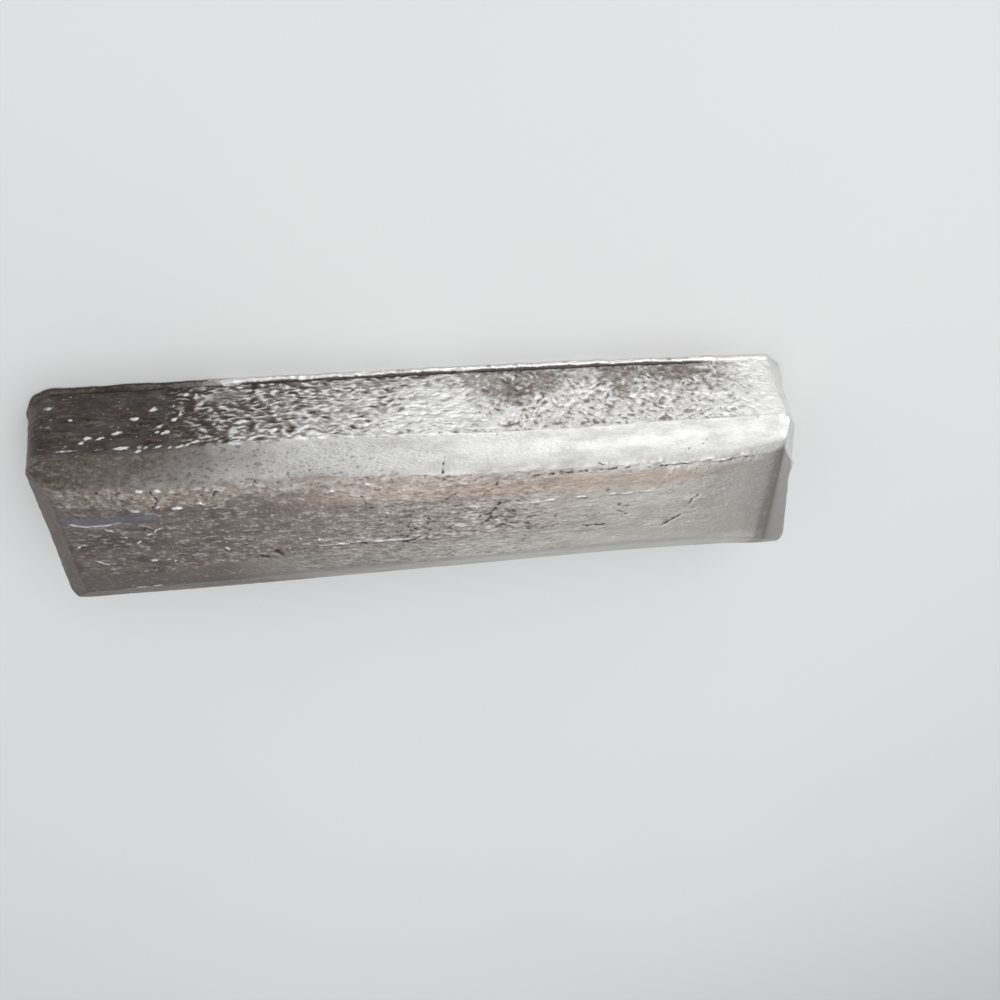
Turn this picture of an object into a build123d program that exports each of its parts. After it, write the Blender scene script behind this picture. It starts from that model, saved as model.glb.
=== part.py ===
"""A cast ingot of aluminium master alloy, lying as it comes to rest: on the side that was the open top
of the mould, with the face that lay on the mould's floor (its crown) up. X runs along the ingot, Y across
it and Z up. The origin is on the floor under the middle of the ingot."""

from build123d import *
import os
from math import radians, tan

# Driving dimensions, in millimetres and degrees.
# The crown: a long face with a low ridge along its middle, which falls away towards both ends.
crown_length = 387.0
crown_width = 65.0
crown_rise = 1.0  # of the middle ridge above the long edges
crown_end_fall = 3.4  # of the long edges, from the middle of the ingot to its ends
crown_end_run = 50.0  # the length over which they fall

# The sloping bands between the crown and the walls.
side_bevel_width = 17.0
side_bevel_drop = 12.4
end_bevel_length = 10.5
end_bevel_drop = 9.0

# The walls, which flare towards the open side of the mould.
height = 55.3  # from the open side to the long edges of the crown
side_draft = 15.0
end_draft = 9.3
corner_radius = 18.0  # the upright corners, at the open side
shoulder_corner_radius = 10.0  # the same corners, where the walls meet the side bevels

# The lip where the molten metal met the top edge of the mould.
lip_overhang = 1.3
lip_height = 2.2

# The surface that froze in open air: it sank while it cooled, and stays level only along its margin.
margin = 9.0
sag_depths = [0.3, 2.2, 1.5, 2.6, 1.8, 2.3, 0.3]  # at even stations, so the hollow is gently wavy

# Rounded edges.
crown_side_radius = 9.0  # soft, between the crown and a side bevel
crown_end_radius = 3.0
crown_fall_radius = 60.0  # where the crown begins to fall away
rim_edge_radius = 0.8

# Sizes that follow from those above.
shoulder_width = crown_width + 2 * side_bevel_width
shoulder_length = crown_length + 2 * end_bevel_length
side_wall_height = height - side_bevel_drop
end_wall_height = height - crown_end_fall - end_bevel_drop
rim_width = shoulder_width + 2 * side_wall_height * tan(radians(side_draft))
rim_length = shoulder_length + 2 * end_wall_height * tan(radians(end_draft))
top = height + crown_rise
clear = 10.0  # how far a cutting outline runs past the metal


def drafted_block():
    """The four flared walls with their rounded upright corners, taken up past the crown."""
    reach = top + clear
    narrowing = 2 * reach * tan(radians(side_draft))
    shortening = 2 * reach * tan(radians(end_draft))
    tapering = (corner_radius - shoulder_corner_radius) / side_wall_height
    rim = RectangleRounded(rim_length, rim_width, corner_radius)
    upper = RectangleRounded(
        rim_length - shortening, rim_width - narrowing, corner_radius - tapering * reach
    )
    return loft([rim, Pos(0, 0, reach) * upper], ruled=True)


def side_bevels():
    """A prism along the ingot that gives the crown its low ridge and the two long bevels."""
    half_flat = crown_width / 2
    half_base = half_flat + height * side_bevel_width / side_bevel_drop
    outline = make_face(
        Polyline(
            (-half_base, 0), (-half_flat, height), (0, top), (half_flat, height), (half_base, 0), close=True
        )
    )
    crown_sides = outline.vertices().group_by(Axis.Y)[-2]
    outline = fillet(crown_sides, crown_side_radius)
    return extrude(Plane.YZ * outline, amount=rim_length, both=True)


def end_bevels():
    """A prism across the ingot that lets the crown fall away and gives the bevels at both ends."""
    half_crown = crown_length / 2
    crown_end = height - crown_end_fall
    half_base = half_crown + crown_end * end_bevel_length / end_bevel_drop
    half_level = half_crown - crown_end_run
    right = [(half_level, top), (half_crown, crown_end), (half_base, 0)]
    left = [(-x, z) for x, z in reversed(right)]
    outline = make_face(Polyline(*left, *right, close=True))
    outline = fillet(outline.vertices().group_by(Axis.Y)[-1], crown_fall_radius)
    crown_ends = [v for v in outline.vertices() if abs(abs(v.X) - half_crown) < 0.01]
    outline = fillet(crown_ends, crown_end_radius)
    return extrude(Plane.XZ * outline, amount=rim_width, both=True)


def lip():
    """The thin rim of metal that ran out over the mould's edge."""
    outline = RectangleRounded(
        rim_length + 2 * lip_overhang, rim_width + 2 * lip_overhang, corner_radius + lip_overhang
    )
    return extrude(outline, amount=lip_height)


def sunken_surface():
    """The hollow in the open side: arcs of changing depth, joined along the ingot."""
    half_width = rim_width / 2 - margin
    half_length = rim_length / 2 - margin
    spacing = 2 * half_length / (len(sag_depths) - 1)
    sections = []
    for index, depth in enumerate(sag_depths):
        arc = ThreePointArc((-half_width, 0), (0, depth), (half_width, 0))
        chord = Line((half_width, 0), (-half_width, 0))
        place = Plane((index * spacing - half_length, 0, 0), x_dir=(0, 1, 0), z_dir=(1, 0, 0))
        sections.append(place * make_face([arc, chord]))
    return loft(sections)


def ingot():
    """The whole casting, one solid."""
    body = drafted_block() & side_bevels() & end_bevels()
    body = body + lip()
    body = fillet(body.edges().group_by(Axis.Z)[0], rim_edge_radius)
    return body - sunken_surface()


os.makedirs("parts", exist_ok=True)
export_step(ingot(), "parts/ingot.step")
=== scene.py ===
import math

import bpy
import numpy as np
from mathutils import Matrix


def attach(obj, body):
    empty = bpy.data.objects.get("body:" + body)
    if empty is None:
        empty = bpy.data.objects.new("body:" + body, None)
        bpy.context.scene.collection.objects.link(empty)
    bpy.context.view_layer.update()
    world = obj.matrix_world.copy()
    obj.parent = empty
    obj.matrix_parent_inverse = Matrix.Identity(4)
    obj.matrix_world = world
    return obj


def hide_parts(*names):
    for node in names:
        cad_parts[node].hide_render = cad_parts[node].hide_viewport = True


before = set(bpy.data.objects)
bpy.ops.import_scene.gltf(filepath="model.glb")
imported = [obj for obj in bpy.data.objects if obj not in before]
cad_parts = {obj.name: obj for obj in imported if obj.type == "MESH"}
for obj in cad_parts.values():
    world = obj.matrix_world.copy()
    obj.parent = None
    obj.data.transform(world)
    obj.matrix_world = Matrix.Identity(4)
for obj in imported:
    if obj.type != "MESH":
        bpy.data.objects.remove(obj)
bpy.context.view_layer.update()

# The casting's skin is sculpted here in millimetres, on the same sizes as the CAD solid, and scaled to
# metres at the end. X runs along the ingot, Y across it and Z up. "Near" is the +Y side, which faces
# the camera, and "far" is the -Y side.
MM = 0.001

CROWN_HALF_LENGTH = 193.5
CROWN_HALF_WIDTH = 32.5
CROWN_EDGE_Z = 55.3
CROWN_TOP_Z = 56.3
CROWN_END_Z = 51.9
FALL_RUN = 50.0
SHOULDER_Z = 42.9
SHOULDER_HALF_LENGTH = 204.0
SHOULDER_HALF_WIDTH = 49.5
SHOULDER_RADIUS = 10.0
RIM_RADIUS = 18.0
SIDE_DRAFT = math.radians(15.0)
END_DRAFT = math.radians(9.3)
LIP_OVERHANG = 1.3
LIP_HEIGHT = 2.2
LOWER_EDGE = 0.5
RIM_HALF_LENGTH = 211.03
RIM_HALF_WIDTH = 60.99
MARGIN = 9.0
SAG_DEPTHS = [0.3, 2.2, 1.5, 2.6, 1.8, 2.3, 0.3]

CELLS_ALONG = 560
CELLS_ACROSS = 130
CELLS_UP = 84
TRIANGLE_LIMIT = 196000
SKIN_LOWEST = (-212.3, -62.25, 0.01)
SKIN_HIGHEST = (212.3, 62.25, 56.28)

rng = np.random.default_rng(41)
GRADIENTS = rng.normal(size=(256, 3))
GRADIENTS /= np.linalg.norm(GRADIENTS, axis=1)[:, None]
SHUFFLE = rng.permutation(256)


def smoothstep(low, high, value):
    share = np.clip((value - low) / (high - low), 0.0, 1.0)
    return share * share * (3.0 - 2.0 * share)


def noise(x, y, z, seed=0):
    """Smooth gradient noise from about -1 to 1; one unit of x, y or z is the size of its lumps."""
    points = np.stack([x + 13.7 * seed, y - 7.9 * seed, z + 5.3 * seed], axis=-1)
    cell = np.floor(points)
    inside = points - cell
    cell = cell.astype(np.int64)
    fade = inside ** 3 * (inside * (inside * 6 - 15) + 10)
    total = np.zeros(len(points))
    for dx in (0, 1):
        row = SHUFFLE[(cell[:, 0] + dx) & 255]
        weight_x = fade[:, 0] if dx else 1 - fade[:, 0]
        for dy in (0, 1):
            column = SHUFFLE[(row + cell[:, 1] + dy) & 255]
            weight_y = weight_x * (fade[:, 1] if dy else 1 - fade[:, 1])
            for dz in (0, 1):
                gradient = GRADIENTS[SHUFFLE[(column + cell[:, 2] + dz) & 255]]
                slope = (
                    gradient[:, 0] * (inside[:, 0] - dx)
                    + gradient[:, 1] * (inside[:, 1] - dy)
                    + gradient[:, 2] * (inside[:, 2] - dz)
                )
                total += weight_y * (fade[:, 2] if dz else 1 - fade[:, 2]) * slope
    return total * 1.7


def rough(x, y, z, seed=0, octaves=3):
    """Noise with finer noise on it."""
    total = 0.0
    size = 1.0
    for step in range(octaves):
        total = total + noise(x * size, y * size, z * size, seed + 3 * step) / size
        size *= 2.0
    return total


def hump(value, centre, reach):
    """1 at the centre, falling smoothly to 0 on both sides of it."""
    return np.exp(-(((value - centre) / reach) ** 2))


def ridges(value, sharpness):
    """1 along the lines where a noise passes through zero, falling to 0 beside them."""
    return np.clip(1.0 - np.abs(value) * sharpness, 0.0, 1.0)


# The base shape

def smooth_min(first, second, blend):
    overlap = np.maximum(blend - np.abs(first - second), 0.0)
    return np.minimum(first, second) - overlap ** 2 / (4.0 * blend)


def upper_height(x, y):
    """The crown and the bevels round it."""
    across = np.abs(y)
    along = np.abs(x)
    ridge = CROWN_TOP_Z - (CROWN_TOP_Z - CROWN_EDGE_Z) * across / CROWN_HALF_WIDTH
    bevel_slope = (CROWN_EDGE_Z - SHOULDER_Z) / (SHOULDER_HALF_WIDTH - CROWN_HALF_WIDTH)
    roof = smooth_min(ridge, CROWN_EDGE_Z - (across - CROWN_HALF_WIDTH) * bevel_slope, 2.4)
    fall = (CROWN_TOP_Z - CROWN_END_Z) / FALL_RUN
    falling = CROWN_END_Z - (along - CROWN_HALF_LENGTH) * fall
    end_slope = (CROWN_END_Z - SHOULDER_Z) / (SHOULDER_HALF_LENGTH - CROWN_HALF_LENGTH)
    end_bevel = CROWN_END_Z - (along - CROWN_HALF_LENGTH) * end_slope
    profile = smooth_min(smooth_min(falling, CROWN_TOP_Z, 0.4), end_bevel, 0.8)
    return smooth_min(roof, profile, 0.5)


def open_side_height(x, y):
    """The sunken surface that the ingot lies on: level along its margin, hollow inside it."""
    half_width = RIM_HALF_WIDTH - MARGIN
    half_length = RIM_HALF_LENGTH - MARGIN
    stations = np.linspace(-half_length, half_length, len(SAG_DEPTHS))
    fine = np.linspace(-half_length, half_length, 241)
    depths = np.interp(fine, stations, SAG_DEPTHS)
    depths = np.convolve(np.pad(depths, 12, mode="edge"), np.ones(25) / 25, mode="valid")
    depth = np.interp(x, fine, depths) * (np.abs(x) < half_length)
    return depth * np.clip(1.0 - (y / half_width) ** 2, 0.0, 1.0)


def side_points(share, half, outward, radius):
    """Points along one side of a rounded rectangle, from the middle of one corner to the next."""
    quarter = math.pi * radius / 4
    run = half - radius
    place = (share - 0.5) * 2 * (run + quarter)
    angle = np.maximum(np.abs(place) - run, 0.0) / radius
    along = np.sign(place) * (np.minimum(np.abs(place), run) + radius * np.sin(angle))
    return along, outward - radius * (1 - np.cos(angle))


long_shares = np.arange(CELLS_ALONG) / CELLS_ALONG
short_shares = np.arange(CELLS_ACROSS) / CELLS_ACROSS


def ring(z, bulge):
    """The outline of the walls, point by point and anticlockwise, each point at its own height."""
    drop = SHOULDER_Z - z
    half_length = SHOULDER_HALF_LENGTH + drop * math.tan(END_DRAFT) + bulge
    half_width = SHOULDER_HALF_WIDTH + drop * math.tan(SIDE_DRAFT) + bulge
    radius = SHOULDER_RADIUS + drop / SHOULDER_Z * (RIM_RADIUS - SHOULDER_RADIUS) + bulge
    cuts = np.cumsum([CELLS_ALONG, CELLS_ACROSS, CELLS_ALONG])
    lengths = np.split(half_length, cuts)
    widths = np.split(half_width, cuts)
    radii = np.split(radius, cuts)
    far, far_out = side_points(long_shares, lengths[0], widths[0], radii[0])
    right, right_out = side_points(short_shares, widths[1], lengths[1], radii[1])
    near, near_out = side_points(long_shares, lengths[2], widths[2], radii[2])
    left, left_out = side_points(short_shares, widths[3], lengths[3], radii[3])
    x = np.concatenate([far, right_out, -near, -left_out])
    y = np.concatenate([-far_out, right, near_out, -left])
    return x, y


RING = 2 * (CELLS_ALONG + CELLS_ACROSS)


def base_rings():
    """The walls from the bevels down to the floor, with the lip and its rounded lower edge."""
    top = np.full(RING, SHOULDER_Z)
    for _ in range(12):
        x, y = ring(top, 0.0)
        top = upper_height(x, y)
    wobble = np.arange(RING) * 0.9
    ragged = 0.72 + 0.4 * noise(wobble / 11.0, wobble * 0, wobble * 0, 31)
    ragged += 0.25 * noise(wobble / 3.1, wobble * 0, wobble * 0, 32)
    ragged = np.clip(ragged, 0.1, 1.0)
    rows = []
    steps = CELLS_UP - 3
    for row in range(steps + 1):
        share = row / steps
        share = share + 0.12 * share * (1.0 - share)
        rows.append((top * (1.0 - share) + LOWER_EDGE * share, 0.0))
    for angle in (30, 60, 90):
        turned = math.radians(angle)
        z = np.full(RING, LOWER_EDGE * (1 - math.sin(turned)))
        rows.append((z, LOWER_EDGE * (1 - math.cos(turned))))
    rings = []
    for z, inset in rows:
        bulge = LIP_OVERHANG * ragged * smoothstep(LIP_HEIGHT + 0.7, LIP_HEIGHT - 0.8, z)
        x, y = ring(z, bulge - inset)
        rings.append(np.stack([x, y, z], axis=-1))
    return np.array(rings)


def patch(outline, height):
    """A grid stretched inside a ring, at the height that a function gives."""
    a, b = CELLS_ALONG, CELLS_ACROSS
    far = outline[: a + 1]
    right = outline[a : a + b + 1]
    near = outline[a + b : 2 * a + b + 1][::-1]
    left = np.concatenate([outline[2 * a + b :], outline[:1]])[::-1]
    u = (np.arange(a + 1) / a)[:, None, None]
    v = (np.arange(b + 1) / b)[None, :, None]
    grid = (1 - v) * far[:, None] + v * near[:, None] + (1 - u) * left[None] + u * right[None]
    grid -= (1 - u) * (1 - v) * far[0] + u * (1 - v) * far[-1] + (1 - u) * v * near[0] + u * v * near[-1]
    inner = grid[1:-1, 1:-1]
    inner[..., 2] = height(inner[..., 0], inner[..., 1])
    return grid


def base_mesh():
    """Vertices and quads of the plain casting, closed all round."""
    rings = base_rings()
    top = patch(rings[0], upper_height)
    bottom = patch(rings[-1], open_side_height)
    a, b = CELLS_ALONG, CELLS_ACROSS
    size = (a + 1) * (b + 1)
    top_index = np.arange(size).reshape(a + 1, b + 1)
    wall_index = size + np.arange((len(rings) - 2) * RING).reshape(len(rings) - 2, RING)
    bottom_index = size + wall_index.size + np.arange(size).reshape(a + 1, b + 1)

    def border(index):
        return np.concatenate([index[:-1, 0], index[-1, :-1], index[:0:-1, -1], index[0, :0:-1]])

    levels = np.vstack([border(top_index), wall_index, border(bottom_index)])
    points = np.vstack([top.reshape(-1, 3), rings[1:-1].reshape(-1, 3), bottom.reshape(-1, 3)])

    def quads(index, flip):
        corners = [index[:-1, :-1], index[1:, :-1], index[1:, 1:], index[:-1, 1:]]
        if flip:
            corners.reverse()
        return np.stack(corners, axis=-1).reshape(-1, 4)

    around = np.hstack([levels, levels[:, :1]])
    walls = np.stack([around[1:, :-1], around[1:, 1:], around[:-1, 1:], around[:-1, :-1]], axis=-1)
    faces = np.vstack([quads(top_index, False), walls.reshape(-1, 4), quads(bottom_index, True)])
    return points, faces


def mesh_from(name, points, faces):
    mesh = bpy.data.meshes.new(name)
    mesh.vertices.add(len(points))
    mesh.vertices.foreach_set("co", points.ravel())
    mesh.loops.add(faces.size)
    mesh.loops.foreach_set("vertex_index", faces.ravel())
    mesh.polygons.add(len(faces))
    mesh.polygons.foreach_set("loop_start", np.arange(0, faces.size, faces.shape[1]))
    mesh.polygons.foreach_set("use_smooth", np.ones(len(faces), dtype=bool))
    mesh.update(calc_edges=True)
    mesh.validate()
    return mesh


def read_vectors(items, field):
    values = np.zeros(len(items) * 3)
    items.foreach_get(field, values)
    return values.reshape(-1, 3)


def apply_modifiers(piece):
    """Bakes the piece's modifiers into its mesh."""
    seen = piece.evaluated_get(bpy.context.evaluated_depsgraph_get())
    piece.data = bpy.data.meshes.new_from_object(seen)
    piece.modifiers.clear()


points, faces = base_mesh()
casting = bpy.data.objects.new("ingot_casting", mesh_from("ingot_casting", points, faces))
bpy.context.scene.collection.objects.link(casting)
soften = casting.modifiers.new("soften", "SMOOTH")
soften.factor = 0.5
soften.iterations = 2
apply_modifiers(casting)

points = read_vectors(casting.data.vertices, "co")
normals = read_vectors(casting.data.vertices, "normal")
x, y, z = points.T
nx, ny, nz = normals.T

# Where each vertex is: 1 inside a region, falling to 0 past its border.
sideways = np.hypot(nx, ny)
wall = smoothstep(0.80, 0.93, sideways) * (z > 0.4)
near_wall = wall * smoothstep(0.35, 0.75, ny)
far_wall = wall * smoothstep(0.35, 0.75, -ny)
end_wall = wall * smoothstep(0.35, 0.75, np.abs(nx))
corner = wall * smoothstep(0.30, 0.62, np.abs(nx)) * smoothstep(0.30, 0.62, np.abs(ny))
upward = smoothstep(0.35, 0.6, nz)
under = smoothstep(-0.5, -0.8, nz)

FRINGE = [
    (-205, 35.5), (-193.3, 37.4), (-186.8, 35.2), (-168.0, 34.7), (-153.8, 34.2), (-137.1, 34.0),
    (-120.2, 33.9), (-98.0, 35.2), (-60.6, 34.7), (-19.8, 32.6), (1.0, 31.0), (76.0, 28.9),
    (132.0, 28.3), (152.0, 28.0), (168.0, 28.6), (185.0, 28.8), (199.0, 31.2), (206.0, 37.2),
]
fringe_wobble = 1.3 * noise(x / 9.0, x * 0, x * 0, 5) + 0.7 * noise(x / 3.0, x * 0, x * 0, 6)
past_fringe = y - np.interp(x, *np.array(FRINGE).T) - fringe_wobble
past_far_edge = -CROWN_HALF_WIDTH - y
past_end = np.abs(x) - CROWN_HALF_LENGTH - 14.0 * (x < 0)
crown = upward * smoothstep(0.6, -0.6, past_fringe) * smoothstep(1.5, -1.5, past_end)
near_bevel = upward * smoothstep(-1.3, 0.9, past_fringe) * smoothstep(2.0, -2.0, past_end)
end_bevel = upward * smoothstep(-1.0, 1.0, past_end)
far_bevel = upward * smoothstep(-6.0, 2.0, past_far_edge) * smoothstep(2.0, -2.0, past_end)

# Relief, in millimetres along the surface normal, and what the material has to know about it.
relief = np.zeros(len(points))
# "bright" carries painted highlights, and "dark" carries painted shade and painted shadows, laid where the
# relief would catch light or be shaded.
bright = np.zeros(len(points))
dark = np.zeros(len(points))


def profile(places, values):
    """A quantity that changes along the ingot, given at a few places and joined smoothly."""
    return np.interp(x + 7.0 * patches, places, values)


patches = rough(x / 30, y / 30, z / 12, 51, 2)
drift = 1.7 * noise(x / 9, y / 6.5, z / 7, 12) + 1.0 * noise(x / 3.2, y / 6.5, z / 3, 13)
fold = 1.0 - 2.6 * np.abs(noise(x / 6.5, y / 6.5, (z + drift) / 2.3, 11))
leaf = rough(x / 4.2, y / 4.2, z / 3.4, 23, 2)

# The near wall from left to right: dark with rows of specks, wavy wrinkles, mottled leaves, nearly white.
# Its dark left end is oxide deepened by painted shade, and its nearly white right end is mostly painted
# light. "level" is how light the metal is painted; "lift" and "sink" are how far its wrinkles go up or down
# from there, as painted highlights on their crests and painted shade in their valleys.
STATIONS = [-205, -140, -121, -110, -72, -18, 36, 90, 147, 171, 184, 205]
level_by_lip = profile(STATIONS, [0.085, 0.07, 0.08, 0.12, 0.26, 0.42, 0.42, 0.52, 0.48, 0.68, 0.98, 0.98])
level_by_edge = profile(
    STATIONS, [0.075, 0.075, 0.09, 0.15, 0.36, 0.74, 0.78, 0.76, 0.74, 0.84, 0.98, 0.98]
)
climb = smoothstep(8, 36, z + 5 * patches)
level = level_by_lip * (1 - climb) + level_by_edge * climb
lift = profile(STATIONS, [0.1, 0.3, 0.85, 1.0, 1.0, 0.95, 0.9, 0.9, 0.9, 0.8, 0.6, 0.5])
sink = profile(STATIONS, [0.3, 0.6, 1.0, 1.0, 1.0, 0.85, 0.78, 0.75, 0.70, 0.42, 0.14, 0.12])


def blotch(centre_x, centre_z, reach_x, reach_z):
    """1 in the middle of a soft, ragged patch of a wall, falling to 0 round it."""
    gap = np.hypot((x - centre_x) / reach_x, (z - centre_z) / reach_z)
    return smoothstep(1.35, 0.5, gap + 0.5 * rough(x / 5, y / 5, z / 3.5, 63, 2))


# Soft patches on the near wall: (along, height, half length, half height, lightness, how smooth)
PATCHES = [
    (-107, 11.5, 13, 4.5, 0.30, 0.8), (2, 24, 20, 15, 0.86, 0.6), (-2, 12, 9, 6, 0.78, 0.4),
    (-40, 20, 10, 4, 0.70, 0.5), (-26, 7.5, 24, 2.2, 0.30, 0.6), (44, 18, 13, 8, 0.24, 0.2),
    (62, 12, 10, 7, 0.32, 0.3), (104, 9, 10, 4.5, 0.27, 0.4), (138, 9.5, 16, 5, 0.25, 0.4),
    (82, 8, 8, 3, 0.62, 0.5), (76, 24, 7, 10, 0.80, 0.2), (105, 20, 4.5, 8, 0.24, 0.3),
]
brown = np.zeros(len(points))
for centre_x, centre_z, reach_x, reach_z, tone, calm in PATCHES:
    here = (0.85 if tone > 0.33 else 0.7) * blotch(centre_x, centre_z, reach_x, reach_z)
    level += here * (tone - level)
    lift *= 1 - here * calm
    sink *= 1 - here * calm
    brown = np.maximum(brown, here * (tone < 0.33) * (centre_x > 0))
fold_share = smoothstep(44, 4, x - 12 * patches)

# Specks on the dark left end, each raised, with a painted highlight on it and a painted shadow just above
# it:
# (along, height, half length, half height, brightness)
SPECKS = [
    (-195, 12.5, 3.2, 1.7, 0.45), (-193, 19.1, 0.8, 0.6, 0.5), (-183, 19.9, 1.7, 0.9, 0.5),
    (-194, 23.5, 1.4, 0.6, 0.4), (-174, 31.0, 2.2, 1.0, 0.8), (-177, 33.5, 1.7, 0.8, 0.6),
    (-168, 31.5, 2.2, 0.8, 0.6), (-160, 28.9, 2.2, 1.0, 1.0), (-152, 21.4, 2.2, 1.0, 0.9),
    (-143, 16.7, 1.7, 1.1, 1.0), (-133, 15.3, 0.8, 0.8, 0.6), (-129, 20.7, 1.1, 1.4, 0.8),
    (-132, 23.7, 1.7, 0.9, 1.0), (-136, 22.6, 0.8, 0.9, 0.5), (-139, 26.9, 2.0, 0.9, 0.7),
    (-136, 31.2, 2.0, 0.9, 1.0), (-140, 30.4, 1.7, 0.6, 0.5), (-157, 37.9, 3.9, 0.8, 0.9),
    (-186, 37.9, 3.9, 0.6, 0.5), (-180, 37.6, 2.8, 0.6, 0.4), (-168, 37.8, 3.4, 0.6, 0.4),
    (-148, 37.8, 1.4, 1.1, 0.5), (-145, 38.9, 1.4, 0.9, 0.6), (-139, 39.3, 2.5, 0.8, 0.6),
    (-149, 40.6, 1.7, 0.9, 0.8), (-162, 39.9, 2.2, 0.6, 0.4), (-133, 40.6, 1.4, 0.8, 0.6),
    (-128, 40.9, 2.0, 0.8, 0.8), (-124, 40.6, 1.1, 0.8, 0.7), (-120, 39.6, 2.0, 0.9, 1.0),
    (-197, 35.5, 0.8, 0.9, 0.4), (-127, 8.6, 1.4, 0.9, 0.9), (-122, 9.9, 0.8, 1.8, 1.0),
]
for _ in range(26):
    SPECKS.append(
        (
            rng.uniform(-192, -118), rng.uniform(17, 40), rng.uniform(0.6, 1.5), rng.uniform(0.4, 0.7),
            rng.uniform(0.15, 0.45),
        )
    )
dark_end = np.flatnonzero((near_wall > 0.01) & (x < -108))
end_x = x[dark_end] + 0.7 * noise(x[dark_end] / 1.6, y[dark_end] / 1.6, z[dark_end] / 1.6, 64)
end_z = z[dark_end] + 0.6 * noise(x[dark_end] / 1.9, y[dark_end] / 1.9, z[dark_end] / 1.3, 65)
for centre_x, centre_z, half_length, half_height, shine in SPECKS:
    along = (end_x - centre_x) / half_length
    speck = np.exp(-(along ** 2) - ((end_z - centre_z + 0.25 * along) / half_height) ** 2)
    relief[dark_end] += 0.45 * shine * speck
    bright[dark_end] += 1.25 * shine * speck
    dark[dark_end] += 0.35 * shine * np.exp(-(along ** 2) - ((end_z - centre_z - 1.5) / half_height) ** 2)

wrinkled = near_wall * smoothstep(-150, -106, x - 8 * patches + 0.5 * (28 - z))
crest = np.clip(fold, -1.0, 1.0)
relief += wrinkled * (0.34 + 0.3 * lift) * (0.55 * crest * fold_share + 0.35 * leaf * (1 - fold_share))
relief += near_wall * 0.12 * rough(x / 12, y / 12, z / 4, 52, 3)

# The other walls have the same skin in patches.
hidden = np.clip(far_wall + end_wall, 0, 1) * (1 - near_wall)
hidden_folds = hidden * np.clip(0.55 + 0.9 * patches, 0.0, 1.0)
relief += hidden_folds * 0.30 * crest + (hidden - hidden_folds) * 0.16 * np.clip(leaf, -0.8, 0.8)
relief += hidden * 0.12 * rough(x / 12, y / 12, z / 4, 53, 3)
fold_share += hidden * (hidden_folds - fold_share)
level += 0.09 * smoothstep(37.5, 43.0, z) * smoothstep(-100, -130, x)
# The other walls are also darker to the left, oxide with painted shade, and nearly white with painted light
# by the near side of the right end.
hidden_level = profile([-205, -120, -20, 205], [0.10, 0.14, 0.42, 0.60]) * (1 - 0.22 * patches)
hidden_level += (0.92 - hidden_level) * smoothstep(18, 34, y) * smoothstep(120, 180, x)
level += hidden * (hidden_level - level)
lift += hidden * (0.30 + 0.35 * hidden_folds - lift)
sink += hidden * (0.35 + 0.30 * hidden_folds - sink)

lap_phase = z / 4.6 + 0.35 * noise(x / 16, y / 16, z / 9, 71)
lap_ridges = (0.5 + 0.5 * np.cos(2 * math.pi * lap_phase)) ** 3 * smoothstep(30, 16, z)
relief += corner * 0.4 * lap_ridges * smoothstep(150, 190, x)

# The lip: a ragged line painted pale as a highlight, with a real groove above it that is painted dark as
# its shadow; painted shade also darkens the lip at the left end.
long_side = smoothstep(0.4, 0.65, np.abs(ny))
broken_groove = np.clip(0.95 + 0.9 * noise(x / 14, y * 0, z * 0, 35), 0.15, 1.0)
groove = hump(z, 3.1, 0.8) * (nz < 0.9) * long_side * smoothstep(-205, -160, x) * smoothstep(176, 150, x)
groove *= broken_groove
relief -= 0.5 * groove
dark += groove * (0.45 + 1.3 * smoothstep(-110, -70, x))
lip_zone = (sideways > 0.4) * smoothstep(2.6, 2.1, z)
dark += 0.42 * (nz < 0.9) * (nz > -0.2) * smoothstep(3.2, 2.5, z) * smoothstep(-112, -124, x)
bright += (
    lip_zone * (0.05 + 0.95 * smoothstep(-118, -96, x))
    * np.clip(1.0 + 0.9 * noise(x / 5, y / 5, z * 0, 33), 0, 1.5)
)
# A raised drop of metal on the lip, with a painted highlight on it.
drop_size = hump(x, -104, 4.6) * hump(z, 2.0, 1.9) * (ny > 0.2)
relief += 0.6 * drop_size
bright += 1.9 * drop_size

# The crisp edge between the near wall and its bevel, a little raised, with a painted highlight along it.
edge = hump(z, SHOULDER_Z, 0.75) * (ny > 0.3) * smoothstep(-126, -110, x) * smoothstep(30, -10, x)
relief += 0.22 * edge * np.clip(0.6 + noise(x / 7, y / 7, z * 0, 34), 0, 1.2)
bright += 0.9 * edge * np.clip(0.45 + 1.1 * noise(x / 5, y / 7, z * 0, 34), 0, 1)

# The bevel by the camera: a smooth, finely grained skin that ends in a ragged, crumbling fringe.
smudge = near_bevel * smoothstep(7.0, 0.5, past_fringe) * smoothstep(-20, 40, x) * smoothstep(178, 160, x)
smudge *= smoothstep(-0.1, 0.7, rough(x / 6, y / 3.5, z / 3.5, 82, 2) + 0.25)
relief += near_bevel * 0.05 * rough(x / 3, y / 3, z / 3, 81, 2)
crumb = rough(x / 3.2, y / 2.3, z / 3.0, 91, 2) + 0.5 * noise(x / 7, y / 5, z * 0, 93)
fringe_depth = profile(
    [-205, -190, -171, -120, -95, -80, -40, 10, 40, 70, 95, 110, 205],
    [8, 11, 12.5, 11.5, 8, 7, 13, 10, 5, 4, 4, 4, 4],
)
fringe_rise = 4.0 * smoothstep(50, 80, x) * smoothstep(-0.5, 0.5, noise(x / 7, y / 7, z * 0, 97))
crumb_on = (
    upward * smoothstep(2.2, -1.2, past_fringe - fringe_rise)
    * smoothstep(-fringe_depth - 2.5, -fringe_depth + 2.0, past_fringe)
)
crumb_on *= smoothstep(-200, -186, x) * smoothstep(188, 176, x)
crumb_on *= profile(
    [-205, -190, -105, -85, -60, 20, 45, 90, 175, 205], [0.5, 1, 0.9, 0.7, 0.8, 0.8, 0.75, 0.8, 0.7, 0.3]
)
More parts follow.
